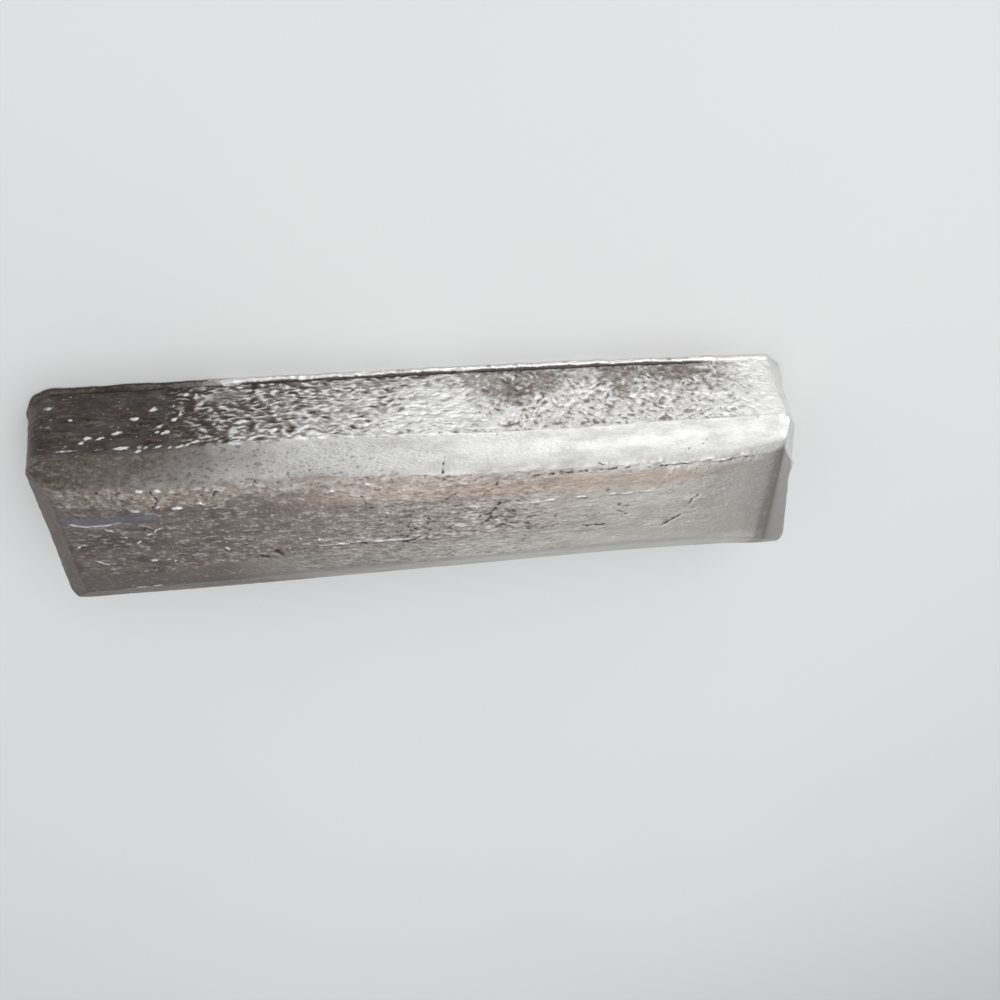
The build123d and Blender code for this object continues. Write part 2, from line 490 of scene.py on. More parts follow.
crumb_on = np.clip(crumb_on * (1 + 0.4 * noise(x / 12, y / 12, x * 0, 92)), 0, 1)
relief += crumb_on * 0.34 * np.clip(crumb, -0.9, 0.9)
relief += upward * 0.20 * smoothstep(-0.8, 0.8, past_fringe) * smoothstep(2, -2, past_end)
# Lumps of metal along the fringe, each with a painted highlight and a painted shadow on its far side:
# (along, across, reach, height)
LUMPS = [
    (-153.9, 21.0, 4.2, 0.4), (-143.3, 22.5, 3.0, 0.4), (-133.8, 21.6, 4.0, 0.5),
    (-121.7, 23.4, 3.2, 0.6), (-149.3, 32.7, 3.0, 0.5), (-140.7, 32.6, 2.6, 0.4),
    (-190.0, 24.3, 1.8, 0.3), (-183.9, 28.8, 1.6, 0.3), (-168.3, 33.1, 1.5, 0.3),
    (-176.2, 25.3, 1.6, 0.3), (-98, 33.8, 1.8, 0.3), (-55, 25.5, 2.6, 0.3), (-36, 28.6, 2.4, 0.3),
    (90, 31.5, 2.2, 0.6), (121, 30.8, 2.6, 0.8), (170, 30.6, 3.4, 0.6), (150, 30.2, 3.0, 0.5),
]
for centre_x, centre_y, reach, height in LUMPS:
    gap = (
        np.hypot((x - centre_x) / reach, (y - centre_y) / (0.42 * reach))
        + 0.5 * noise(x / 1.6, y / 1.3, z * 0, 96)
    )
    lump = upward * smoothstep(1.2, 0.3, gap)
    relief += height * lump
    bright += 0.62 * lump
    shade_gap = np.hypot((x - centre_x) / reach, (y - centre_y + 0.62 * reach) / (0.3 * reach))
    dark += 0.4 * upward * smoothstep(0.9, 0.2, shade_gap)

# The crown: fine streaks and laps along it, cracks and pits, and a smooth strip along its far edge.
strip_start = -17.0 + 2.0 * noise(x / 40, x * 0, x * 0, 94) - 7.0 * smoothstep(-90, -150, x)
strip = crown * smoothstep(strip_start + 1.5, strip_start - 1.5, y)
crown_rough = crown * (1 - strip) * smoothstep(176, 150, x) * smoothstep(-198, -186, x)
streaks = rough(x / 16, (y + 0.8 * noise(x / 12, y / 12, z * 0, 95)) / 1.7, z * 0, 101, 2)
ripples = rough(x / 5, y / 1.3, z * 0, 102, 2)
relief += crown * 0.12 * noise(x / 30, y / 7, z * 0, 103)
relief += crown_rough * (0.11 * streaks + 0.08 * ripples)
# Painted highlights on the streaks' crests, stronger to the right, and painted shade in the ripples'
# hollows.
bright += crown_rough * 0.40 * smoothstep(0.35, 0.9, streaks) * smoothstep(-150, 40, x)
dark += crown_rough * 0.30 * smoothstep(0.4, 0.9, -ripples)
relief += far_bevel * 0.05 * rough(x / 4, y / 4, z / 4, 104, 2)
relief += end_bevel * 0.07 * rough(x / 5, y / 3, z / 3, 105, 2)

top_side = np.flatnonzero(upward > 0.01)
top_x = x[top_side]
top_y = y[top_side]
top_zero = np.zeros(len(top_side))


def along_line(line):
    """For every vertex of the top side: how far it is from a given line, on which side of it, and
    how far along the line, from 0 to 1."""
    line = np.array(line, dtype=float)
    lengths = np.linalg.norm(np.diff(line, axis=0), axis=1)
    starts = np.concatenate([[0], np.cumsum(lengths)])
    nearest = np.full(len(top_side), 1e9)
    side = np.zeros(len(top_side))
    share = np.zeros(len(top_side))
    for index, length in enumerate(lengths):
        step = (line[index + 1] - line[index]) / length
        dx = top_x - line[index, 0]
        dy = top_y - line[index, 1]
        run = np.clip(dx * step[0] + dy * step[1], 0, length)
        gap = np.hypot(dx - run * step[0], dy - run * step[1])
        closer = gap < nearest
        nearest = np.where(closer, gap, nearest)
        side = np.where(closer, np.sign(dy * step[0] - dx * step[1]), side)
        share = np.where(closer, (starts[index] + run) / starts[-1], share)
    return nearest, side, share


# Laps: the metal stopped for a moment and ran over its own skin. Each raised edge gets a painted highlight,
# and a painted shadow lies below its step. (line, step, how bright its painted highlight is)
LAPS = [
    ([(-77.6, -11.8), (-61.1, -13.1), (-45.5, -12.3), (-23.7, -12.8), (0.2, -13.4)], 0.30, 0.8),
    ([(39.0, 8.3), (49.2, 7.3), (65.8, 8.7), (88.7, 8.6), (117.3, 9.6), (133.3, 10.5)], 0.25, 0.7),
    ([(-77.0, 10.2), (-62.0, 17.0), (-48.0, 14.2), (-36.0, 15.6), (-26.0, 8.0)], 0.25, 0.25),
    ([(-15.8, -18.8), (14.3, -16.3), (54.2, -18.0), (112.9, -17.5)], 0.12, 0.15),
    ([(8.5, 4.9), (38.9, 2.3), (65.7, 2.4), (94.0, 2.2), (114.1, 2.5)], 0.18, 0.3),
    ([(-17.6, 0.5), (8.4, -1.5), (41.0, -1.5)], 0.18, 0.3),
    ([(0.0, 16.0), (16.0, 14.2), (34.0, 15.4), (60.0, 15.0)], 0.18, 0.3),
    ([(109.9, 27.3), (123.7, 27.6), (138.7, 27.6), (152.7, 27.8), (168.0, 28.4), (182.0, 28.8)], 0.40, 1.3),
    ([(159.6, 17.0), (161.0, 8.0), (164.5, -4.0), (166.5, -14.0)], 0.10, 0.25),
]
for number, (line, step, shine) in enumerate(LAPS):
    gap, side, share = along_line(line)
    gap = np.abs(gap + 1.0 * noise(top_x / 4.0, top_y / 4.0, top_zero, 120 + number))
    broken = np.clip(0.7 + 1.1 * noise(top_x / 6.0, top_y / 6.0, top_zero, 135 + number), 0.0, 1.0)
    ends = smoothstep(0.0, 0.12, share) * smoothstep(1.0, 0.88, share) * broken
    relief[top_side] += ends * step * np.exp(-gap / 2.6) * (side > 0)
    relief[top_side] -= ends * 0.3 * step * np.exp(-gap / 1.0) * (side <= 0)
    bright[top_side] += ends * shine * hump(gap, 0.3, 0.9) * (side > 0)
    dark[top_side] += ends * 0.5 * shine * hump(gap, 0.5, 0.7) * (side <= 0)

# A smooth, bluish strip at the left of the crown, with a low raised line along it that is painted bright as
# a highlight.
STREAK = [(-191.9, 13.2), (-180.9, 10.6), (-170.1, 11.6), (-160.2, 14.1), (-144.3, 14.7)]
strip_line = top_y - np.interp(top_x, *np.array(STREAK).T)
cool = np.zeros(len(points))
cool[top_side] = hump(strip_line, 2.2, 2.6) * smoothstep(-196, -189, top_x) * smoothstep(-138, -150, top_x)
streak_line = hump(strip_line, 0.0, 0.8) * smoothstep(-193, -187, top_x) * smoothstep(-142, -152, top_x)
bright[top_side] += 0.62 * streak_line * (0.45 + 0.55 * smoothstep(-158, -172, top_x))
relief[top_side] += 0.2 * streak_line

# Cracks and torn spots on the crown, painted dark inside as shade, with a low lip beside each.
# (line, half width, depth)
CRACKS = [
    ([(33.9, 9.1), (31.7, 6.7), (28.3, 1.9), (28.5, -1.7), (25.3, -4.4)], 0.50, 0.7),
    ([(28.3, 1.9), (23.6, 1.2), (21.1, -0.6)], 0.4, 0.4),
    ([(31.4, -8.2), (35.3, -7.0), (39.3, -9.7)], 0.5, 0.6),
    ([(127.9, -17.5), (133.1, -13.4), (138.1, -10.0)], 0.6, 0.6),
    ([(142.0, -1.7), (143.0, 1.1), (147.5, 4.4)], 0.4, 0.5),
    ([(24.9, 15.8), (29.0, 18.7), (31.5, 21.2), (32.7, 25.4)], 0.4, 0.4),
    ([(2.0, 12.0), (6.0, 15.2), (11.0, 18.6)], 0.4, 0.45),
    ([(-21.2, -15.4), (-16.1, -13.7), (-11.1, -11.9)], 0.5, 0.5),
    ([(-14.6, 1.0), (-17.1, -3.1), (-15.2, -7.2), (-18.2, -11.3)], 0.4, 0.5),
    ([(-7.6, 3.9), (-4.6, 0.7), (-6.7, -2.8)], 0.4, 0.4),
    ([(-40.0, 20.3), (-37.5, 14.0), (-35.3, 11.8)], 0.35, 0.4),
    ([(57.4, -12.5), (62.5, -11.5), (67.1, -9.6)], 0.45, 0.5),
    ([(-88.6, -14.4), (-86.2, -17.2)], 1.1, 0.8),
    ([(-97.0, -17.0), (-93.5, -17.8)], 0.8, 0.4),
    ([(4.6, 38.8), (3.1, 33.6), (3.9, 27.0)], 0.35, 0.4),
    ([(-92.9, 34.6), (-90.6, 32.1)], 0.5, 0.4),
    ([(-112.1, 30.6), (-115.5, 26.1)], 0.5, 0.4),
    ([(-144.0, 31.7), (-141.8, 26.8), (-145.1, 22.3)], 0.5, 0.5),
    ([(-169.8, 33.2), (-174.5, 29.9), (-178.6, 27.0)], 0.5, 0.5),
    ([(-156.9, 33.5), (-162.5, 31.6), (-164.4, 28.2)], 0.5, 0.5),
    ([(145.2, 37.1), (147.3, 39.0), (150.0, 41.0)], 0.35, 0.3),
    ([(137.2, 35.5), (139.1, 36.8)], 0.4, 0.3),
    ([(85.5, -11.8), (89.7, -13.3), (93.9, -12.5)], 0.4, 0.4),
    ([(100.3, -2.9), (103.4, -4.7)], 0.5, 0.4),
    ([(12.0, 27.4), (16.0, 28.8), (21.0, 29.2)], 0.35, 0.35),
    ([(-70.0, 36.5), (-63.0, 37.6)], 0.5, 0.25),
]
for mark in range(7):
    start = 52.0 + 8.2 * mark
    stretch = rng.uniform(2, 5.5)
    CRACKS.append(([(start, 25.9 + 0.2 * mark), (start + stretch, 26.3 + 0.2 * mark)], 0.5, 0.5))
for mark in range(40):
    start_x = rng.uniform(-62, 106)
    start_y = rng.uniform(-14, 7)
    turn = rng.normal(0.0, 0.5)
    reach = rng.uniform(0.8, 3.0)
    CRACKS.append(
        (
            [(start_x, start_y), (start_x + reach * math.cos(turn), start_y + reach * math.sin(turn))],
            rng.uniform(0.4, 0.7),
            0.3,
        )
    )
for number, (line, width, depth) in enumerate(CRACKS):
    gap = along_line(line)[0]
    gap = np.abs(gap + 0.6 * noise(top_x / 1.8, top_y / 1.8, top_zero, 150 + number))
    cut = hump(gap, 0.0, width)
    relief[top_side] -= depth * cut
    dark[top_side] += 0.85 * cut * smoothstep(0.2, 0.5, depth + 0.1)
    relief[top_side] += 0.25 * depth * hump(gap, 2.0 * width, width)

# Small raised scratches and droplets on the left of the crown, each with a painted highlight and a painted
# shadow beside it, and pits over all of it, painted dark as shade.
SCRATCHES = [
    (-187, -3.0, 3.2, 0.35), (-179, -15.5, 3.6, -0.45), (-170, 7.8, 2.8, -0.4),
    (-164, 3.0, 2.4, -0.35), (-151, 4.6, 1.8, 0.5), (-146, 7.8, 2.6, 0.55), (-157, -0.5, 2.0, 0.4),
    (-172, -1.2, 1.6, 0.2), (-167, -1.0, 1.0, 0.1), (-163.5, -33.6, 4.6, 0.06),
    (-155.0, -33.0, 3.0, 0.05), (-152, -14.0, 2.0, 0.2),
]
for _ in range(30):
    centre_x = rng.uniform(-150, -64)
    SCRATCHES.append((centre_x, rng.uniform(-14, 6) - 2, rng.uniform(0.6, 1.7), rng.uniform(-0.9, 0.9)))
for number, (centre_x, centre_y, reach, turn) in enumerate(SCRATCHES):
    run = (top_x - centre_x) * math.cos(turn) + (top_y - centre_y) * math.sin(turn)
    off = (top_y - centre_y) * math.cos(turn) - (top_x - centre_x) * math.sin(turn)
    off = off + 0.7 * noise(top_x / 2.2, top_y / 2.2, top_zero, 180 + number % 7)
    bump = np.exp(-((run / reach) ** 4) - ((off / 0.7) ** 2)) * (1.0 if reach > 1.7 else 0.6)
    relief[top_side] += 0.32 * bump
    bright[top_side] += 0.80 * bump
    dark[top_side] += 0.45 * np.exp(-((run / reach) ** 4) - (((off + 1.2) / 0.6) ** 2))
for _ in range(80):
    centre_x = rng.uniform(-185, 160)
    centre_y = rng.uniform(-26, 28)
    size = rng.uniform(0.4, 0.9)
    pit = np.exp(-(((top_x - centre_x) / (1.6 * size)) ** 2) - ((top_y - centre_y) / size) ** 2)
    relief[top_side] -= 0.35 * size * pit
    dark[top_side] += 0.5 * size * pit
# Where the crown's flakes are painted: light on their raised parts as painted highlights, dark in their
# hollows as painted shade.
flakes_middle = (
    0.45 * smoothstep(-60, -10, x) * smoothstep(70, 40, x) * smoothstep(-17, -11, y) * smoothstep(16, 6, y)
)
flake_highlight_and_shade = crown_rough * (0.55 - 0.33 * smoothstep(45, 75, x) + flakes_middle)
flake_highlight_and_shade += 0.55 * strip * smoothstep(-105, -60, x) * smoothstep(90, 40, x) * smoothstep(-36, -28, y)

# The open side: wide, shallow flow wrinkles and chains of pits inside a smooth margin, with painted
# highlights on the wrinkles' crests and painted shade in the pits.
inner = under * smoothstep(53, 47, np.abs(y)) * smoothstep(203, 196, np.abs(x))
flow = rough(x / 26 + 0.6 * noise(x / 40, y / 30, z * 0, 201), y / 13, z * 0, 202, 3)
relief -= inner * (0.55 * ridges(flow, 2.2) ** 2 + 0.10 * rough(x / 5, y / 5, z * 0, 203, 2) + 0.25)
bright += inner * 0.3 * ridges(flow, 2.2) ** 2
for _ in range(70):
    centre_x = rng.uniform(-190, 190)
    centre_y = rng.uniform(-42, 42)
    size = rng.uniform(0.6, 1.7)
    pit = inner * np.exp(-(((x - centre_x) / (1.4 * size)) ** 2) - ((y - centre_y) / size) ** 2)
    relief -= 0.5 * size * pit
    dark += 0.8 * pit

placed = points + normals * relief[:, None]

# Waves in the long edges and a cut-off corner at the right, which a worn mould gives.
far_wave = np.interp(
    x, [-200, -150, -110, -70, -20, 30, 70, 110, 150, 175, 205],
    [-0.8, -1.1, -1.1, -0.5, 0.2, 0.7, 1.5, 1.9, 1.3, 0.6, -2.2],
)
near_wave = np.interp(
    x, [-205, -151, -132, -113, -97, -68, -50, -9, 31, 87, 123, 205],
    [-2.2, -2.8, -1.0, 1.0, 1.7, 2.2, 1.8, -0.2, -2.1, -2.6, -2.0, -1.8],
)
placed[:, 1] += far_wave * smoothstep(14, 43, z) * smoothstep(-12, -34, y)
placed[:, 1] += near_wave * smoothstep(8, 38, z) * smoothstep(37, 46, y)
placed[:, 1] -= (
    np.interp(x, [40, 100, 160, 205], [0.0, 0.6, 2.0, 3.2]) * smoothstep(38, 8, z) * smoothstep(35, 50, y)
)
end_skew = np.interp(
    y, [-55, -50, -40, -25, 0, 20, 40, 50, 60], [8.2, 8.2, 7.4, 5.2, 1.5, -0.4, -3.6, -5.4, -4.6]
)
end_skew = np.where(end_skew > 0, end_skew * smoothstep(14, 40, z), end_skew)
placed[:, 0] += end_skew * smoothstep(191, 204, x)
placed[:, 0] -= 1.2 * smoothstep(-191, -204, x) * smoothstep(10, -45, y)
fin = np.exp(-(((y - 9.0) / 4.0) ** 2) - ((z - 40.0) / 2.6) ** 2) * smoothstep(200, 203, x)
placed[:, 0] += 2.6 * fin
# The cut corner's upper border runs slantwise over the end bevel, with a low ridge on it.
corner_cut = y - (29.0 - 1.75 * (x - 196))
fin_line = hump(np.abs(corner_cut) / 2.0, 0.0, 0.8) * smoothstep(193, 195, x) * smoothstep(0.1, 0.4, nz)
placed[:, 2] += 0.5 * fin_line
# Painted highlights on the slanting ridge and on the fin.
bright += 1.5 * fin_line + 1.5 * fin


def inside_box(place):
    """Keeps the skin inside the box of the CAD solid."""
    return np.clip(place, SKIN_LOWEST, SKIN_HIGHEST)


casting.data.vertices.foreach_set("co", (inside_box(placed) * MM).ravel())

# Regions for the material, each from 0 to 1, and the signed fields whose zero lines it draws.
# A warm band along the crown just inside its fringe: a painted warm reflection.
warm_reflection_edge = -15.0 + 8.0 * smoothstep(110, 178, x) - 4.0 * smoothstep(-30, -90, x)
warm_reflection_start = -1.0 - 3.0 * smoothstep(85, 45, x)
warm_reflection_band = (
    crown * smoothstep(warm_reflection_start + 0.5, warm_reflection_start - 2.0, past_fringe)
    * smoothstep(warm_reflection_edge - 3.0, warm_reflection_edge + 2.0, past_fringe)
)
warm_reflection_band *= (
    smoothstep(-100, -20, x) * smoothstep(184, 160, x)
    * np.clip(0.8 + 0.6 * noise(x / 30, y / 4, z * 0, 302), 0, 1)
)
# The cut corner of the right end bevel, painted nearly white as painted light.
painted_light_corner = smoothstep(-1.5, 1.5, corner_cut) * smoothstep(188, 194, x) * smoothstep(0.05, 0.3, nz)
end_shade = upward * hump(x, 191.8, 3.2) * (1.0 + 0.5 * smoothstep(20, -10, y)) * smoothstep(36, 28, y)
end_shade += 0.30 * upward * smoothstep(170, 188, x) * (past_end < 0)
end_shade *= 1 - painted_light_corner

SIGNED = ("crumb", "fold", "leaf")
fields = dict(
    bright=bright, dark=dark, warm_reflection_band=warm_reflection_band, walls=wall, crown=crown, near_bevel=near_bevel,
    open_side=under, strip=strip, far_bevel=far_bevel, end_shade=end_shade, painted_light_corner=painted_light_corner,
    crumb_on=crumb_on, crumb=crumb, fold=crest, leaf=leaf, fold_share=fold_share, level=level, lift=lift,
    sink=sink, wrinkled=np.clip(wrinkled + hidden, 0, 1), smudge=smudge, cool=cool,
    brown=brown * near_wall, flake_highlight_and_shade=flake_highlight_and_shade,
)
for name, values in fields.items():
    layer = casting.data.attributes.new(name, "FLOAT", "POINT")
    lowest = -1.0 if name in SIGNED else 0.0
    layer.data.foreach_set("value", np.clip(values, lowest, 1.0).astype(np.float32))

thinned = casting.vertex_groups.new(name="thinned")
plainness = np.round(
    np.clip(0.25 - 0.25 * near_wall + 0.6 * far_wall + 0.75 * under + 0.4 * end_wall, 0, 1), 1
)
for weight in np.unique(plainness):
    thinned.add(np.flatnonzero(plainness == weight).tolist(), float(weight), "REPLACE")

casting.data.update()
triangles = 2 * len(casting.data.polygons)
if triangles > TRIANGLE_LIMIT:
    thin = casting.modifiers.new("thin", "DECIMATE")
    thin.ratio = TRIANGLE_LIMIT / triangles
    thin.vertex_group = "thinned"
    thin.vertex_group_factor = 1.0
    apply_modifiers(casting)
    thin_points = inside_box(read_vectors(casting.data.vertices, "co") / MM)
    casting.data.vertices.foreach_set("co", (thin_points * MM).ravel())
    casting.data.update()
casting.data.polygons.foreach_set("use_smooth", np.ones(len(casting.data.polygons), dtype=bool))


# The material

class Nodes:
    """A short way to lay out a material's nodes."""

    def __init__(self, name):
        self.material = bpy.data.materials.new(name)
        self.material.use_nodes = True
        self.tree = self.material.node_tree
        self.shader = self.tree.nodes["Principled BSDF"]
        self.place = self.add("ShaderNodeTexCoord").outputs["Object"]

    def add(self, kind, **settings):
        node = self.tree.nodes.new(kind)
        for key, value in settings.items():
            setattr(node, key, value)
        return node

    def feed(self, socket, value):
        if isinstance(value, (int, float)):
            socket.default_value = value
        elif isinstance(value, tuple):
            socket.default_value = (*value, 1.0) if len(value) == 3 and socket.type == "RGBA" else value
        else:
            self.tree.links.new(value, socket)

    def math(self, operation, first, second):
        node = self.add("ShaderNodeMath", operation=operation)
        self.feed(node.inputs[0], first)
        self.feed(node.inputs[1], second)
        return node.outputs[0]

    def plus(self, first, second):
        return self.math("ADD", first, second)

    def minus(self, first, second):
        return self.math("SUBTRACT", first, second)

    def times(self, first, second):
        return self.math("MULTIPLY", first, second)

    def grain(self, scale, detail=4.0, stretch=(1.0, 1.0, 1.0), roughness=0.55, distortion=0.0):
        mapping = self.add("ShaderNodeMapping")
        self.feed(mapping.inputs["Vector"], self.place)
        mapping.inputs["Scale"].default_value = stretch
        node = self.add("ShaderNodeTexNoise")
        self.feed(node.inputs["Vector"], mapping.outputs["Vector"])
        node.inputs["Scale"].default_value = scale
        node.inputs["Detail"].default_value = detail
        node.inputs["Roughness"].default_value = roughness
        node.inputs["Distortion"].default_value = distortion
        return node.outputs["Fac"]

    def lumps(self, sizes, seed, place=None):
        """Noise from about -1 to 1 whose lumps have the given sizes along X, Y and Z, in millimetres."""
        mapping = self.add("ShaderNodeMapping")
        self.feed(mapping.inputs["Vector"], place or self.place)
        mapping.inputs["Location"].default_value = (seed, 0.37 * seed, -0.61 * seed)
        mapping.inputs["Scale"].default_value = [1000.0 / size for size in sizes]
        node = self.add("ShaderNodeTexNoise")
        self.feed(node.inputs["Vector"], mapping.outputs["Vector"])
        node.inputs["Scale"].default_value = 1.0
        node.inputs["Detail"].default_value = 0.0
        return self.times(self.minus(node.outputs["Fac"], 0.5), 2.4)

    def dashes(self, long_size, short_size, tilt, seed, drift):
        """Lumps drawn out into wavy dashes, which run along the walls or at an angle to them."""
        turned = self.add("ShaderNodeVectorRotate", rotation_type="Y_AXIS")
        self.feed(turned.inputs["Vector"], self.place)
        turned.inputs["Angle"].default_value = tilt
        lifted = self.add("ShaderNodeCombineXYZ")
        self.feed(lifted.inputs["Z"], drift)
        moved = self.add("ShaderNodeVectorMath", operation="ADD")
        self.feed(moved.inputs[0], turned.outputs["Vector"])
        self.feed(moved.inputs[1], lifted.outputs["Vector"])
        return self.lumps((long_size, long_size, short_size), seed, moved.outputs["Vector"])

    def span(self, value, low, high, out_low=0.0, out_high=1.0):
        node = self.add("ShaderNodeMapRange", interpolation_type="SMOOTHSTEP")
        self.feed(node.inputs["Value"], value)
        node.inputs["From Min"].default_value = low
        node.inputs["From Max"].default_value = high
        node.inputs["To Min"].default_value = out_low
        node.inputs["To Max"].default_value = out_high
        return node.outputs["Result"]

    def mix(self, factor, first, second):
        node = self.add("ShaderNodeMix", data_type="RGBA")
        self.feed(node.inputs["Factor"], factor)
        self.feed(node.inputs["A"], first)
        self.feed(node.inputs["B"], second)
        return node.outputs["Result"]

    def mix_number(self, factor, first, second):
        node = self.add("ShaderNodeMix", data_type="FLOAT")
        self.feed(node.inputs["Factor"], factor)
        self.feed(node.inputs[2], first)
        self.feed(node.inputs[3], second)
        return node.outputs[0]

    def ramp(self, value, stops):
        node = self.add("ShaderNodeValToRGB")
        self.feed(node.inputs["Fac"], value)
        points = node.color_ramp.elements
        while len(points) < len(stops):
            points.new(0.5)
        for point, (place, tone) in zip(points, stops):
            point.position = place
            point.color = (*tone, 1.0)
        return node.outputs["Color"]

    def layer(self, name):
        return self.add("ShaderNodeAttribute", attribute_name=name).outputs["Fac"]


def cast_metal():
    """Bare cast aluminium, pale and grained, with a brown-grey oxide over its left end that painted shade
    darkens further, painted light that whitens its right end, and painted highlights and shade on its
    relief.
    """
    nodes = Nodes("cast_aluminium")
    feed, mix, mix_number, span, layer = nodes.feed, nodes.mix, nodes.mix_number, nodes.span, nodes.layer
    plus, minus, times = nodes.plus, nodes.minus, nodes.times
    grain, lumps, dashes = nodes.grain, nodes.lumps, nodes.dashes
    split = nodes.add("ShaderNodeSeparateXYZ")
    feed(split.inputs[0], nodes.place)
    along = split.outputs["X"]

    cloud = grain(38.0, 3.0, (0.55, 1.0, 1.3))
    mottle = grain(160.0, 4.0, (0.4, 1.0, 1.0))
    speckle = grain(420.0, 3.0, (0.7, 1.0, 1.0))
    fine = grain(1500.0, 3.0)
    shifted = plus(along, times(minus(cloud, 0.5), 0.14))

    crossed = grain(420.0, 4.0, (0.75, 1.0, 1.0), 0.65, 1.2)
    # Each tone below is darker towards the left end, oxide deepened by painted shade, and paler towards the
    # right end by painted light; the bevel's near-white right end is painted light.
    bevel_tone = mix(span(shifted, -0.18, -0.03), (0.120, 0.097, 0.077), (0.70, 0.698, 0.685))
    bevel_tone = mix(span(along, 0.16, 0.19), bevel_tone, (0.85, 0.848, 0.835))
    bevel_tone = mix(span(crossed, 0.35, 0.75, 0.0, 0.16), bevel_tone, (0.30, 0.29, 0.27))
    brushed = plus(lumps((3.4, 1.8, 2.2), 91.7), times(lumps((1.5, 1.1, 1.2), 93.1), 0.8))
    brushed = times(brushed, span(shifted, -0.08, 0.02, 1.0, 0.22))
    bevel_tone = mix(span(brushed, 0.0, 1.0, 0.0, 0.5), bevel_tone, (0.34, 0.31, 0.275))
    bevel_tone = mix(span(brushed, 0.0, -1.0, 0.0, 0.5), bevel_tone, (0.070, 0.053, 0.042))
    bevel_tone = mix(times(layer("smudge"), 0.5), bevel_tone, (0.33, 0.32, 0.30))
    crown_left = mix(span(mottle, 0.35, 0.65), (0.155, 0.126, 0.114), (0.245, 0.207, 0.188))
    crown_tone = mix(span(shifted, -0.13, 0.03), crown_left, (0.36, 0.325, 0.295))
    crown_tone = mix(span(shifted, 0.02, 0.13), crown_tone, (0.47, 0.452, 0.415))
    strip_tone = mix(span(shifted, -0.15, 0.07), (0.19, 0.166, 0.15), (0.47, 0.455, 0.41))
    other_tone = mix(span(shifted, -0.17, 0.02), (0.15, 0.13, 0.115), (0.50, 0.49, 0.47))
    far_tone = mix(span(shifted, -0.15, 0.04), (0.19, 0.165, 0.155), (0.60, 0.59, 0.555))

    # The walls: their lightness is a level, lifted to painted highlights on the wrinkles' crests and sunk
    # to painted shade in their valleys.
    drift = plus(times(lumps((9, 9, 7), 3.1), 0.0013), times(lumps((3.2, 3.2, 3), 5.7), 0.0008))
    flowing = times(dashes(4.0, 1.5, 0.06, 7.3, drift), 0.9)
    folded = plus(times(layer("fold"), 0.8), flowing)
    rising = dashes(4.3, 1.85, 0.6, 11.9, drift)
    falling = dashes(4.0, 1.75, -0.65, 17.3, drift)
    upright = dashes(3.7, 1.7, 1.35, 23.1, drift)
    hatched = mix_number(span(lumps((9, 9, 8), 29.3), -0.2, 0.2), falling, rising)
    hatched = mix_number(span(lumps((11, 9, 9), 31.7), 0.1, 0.4), hatched, upright)
    busy = span(lumps((10, 10, 8), 37.9), -0.5, 0.5, 0.7, 1.7)
    mottled = times(times(hatched, busy), 0.85)
    mottled = plus(mottled, times(lumps((2.4, 2.4, 2.0), 41.3), 0.6))
    mottled = plus(mottled, times(lumps((1.1, 1.1, 0.9), 43.9), 0.28))
    mottled = plus(mottled, times(layer("leaf"), 0.5))
    field = mix_number(layer("fold_share"), mottled, folded)
    field = plus(field, times(minus(fine, 0.5), 0.9))
    field = minus(field, span(layer("level"), 0.05, 0.4, 0.12, 0.0))
    crests = times(span(field, 0.10, 0.95), times(layer("lift"), layer("wrinkled")))
    valleys = times(span(field, 0.05, -0.85), times(layer("sink"), layer("wrinkled")))
    dim = span(layer("level"), 0.12, 0.35, 1.0, 0.0)
    uneven = plus(times(lumps((5, 5, 3), 47.3), 0.22), times(minus(crossed, 0.5), 1.1))
    level = times(layer("level"), plus(1.0, uneven))
    trails = plus(dashes(9.0, 1.0, 0.07, 53.1, drift), times(lumps((2.4, 2.4, 1.6), 55.7), 0.5))
    level = plus(level, times(dim, span(trails, 0.0, 0.9, 0.0, 0.075)))
    level = minus(level, times(dim, span(trails, -0.1, -0.8, 0.0, 0.045)))
    dots = plus(lumps((1.3, 1.3, 0.85), 59.3), times(lumps((7, 7, 4), 61.9), 0.35))
    level = plus(level, times(dim, span(dots, 0.62, 1.0, 0.0, 0.35)))
    level = mix_number(crests, level, 0.93)
    level = mix_number(times(valleys, 0.9), level, 0.03)
    wall_tone = nodes.ramp(
        level,
        [
            (0.0, (0.030, 0.026, 0.023)), (0.10, (0.108, 0.084, 0.073)), (0.30, (0.315, 0.288, 0.262)),
            (0.55, (0.56, 0.55, 0.53)), (0.93, (0.93, 0.927, 0.915)),
        ],
    )

    wall_tone = mix(
        times(span(lumps((13, 13, 7), 67.1), 0.0, 0.5), times(dim, 0.35)), wall_tone, (0.118, 0.118, 0.120)
    )
    wall_tone = mix(times(layer("brown"), 0.38), wall_tone, (0.245, 0.180, 0.140))
    open_tone = mix(span(lumps((24, 11, 11), 81.1), -0.6, 0.6), (0.33, 0.31, 0.285), (0.56, 0.55, 0.53))
    open_tone = mix(span(shifted, -0.16, -0.04, 0.8, 0.0), open_tone, (0.16, 0.138, 0.122))
    open_tone = mix(span(crossed, 0.4, 0.7, 0.0, 0.3), open_tone, (0.17, 0.155, 0.14))
    colour = other_tone
    for name, tone in (
        ("open_side", open_tone), ("walls", wall_tone), ("crown", crown_tone), ("strip", strip_tone),
        ("far_bevel", far_tone), ("near_bevel", bevel_tone),
    ):
        colour = mix(layer(name), colour, tone)
    # A painted warm reflection along the crown's near edge, painted shade at the crown's right end, and
    # painted light on the cut corner.
    for name, share, tone in (
        ("warm_reflection_band", 0.8, (0.43, 0.335, 0.275)), ("end_shade", 0.6, (0.13, 0.12, 0.105)),
        ("painted_light_corner", 0.95, (0.86, 0.857, 0.845)),
    ):
        colour = mix(times(layer(name), share), colour, tone)

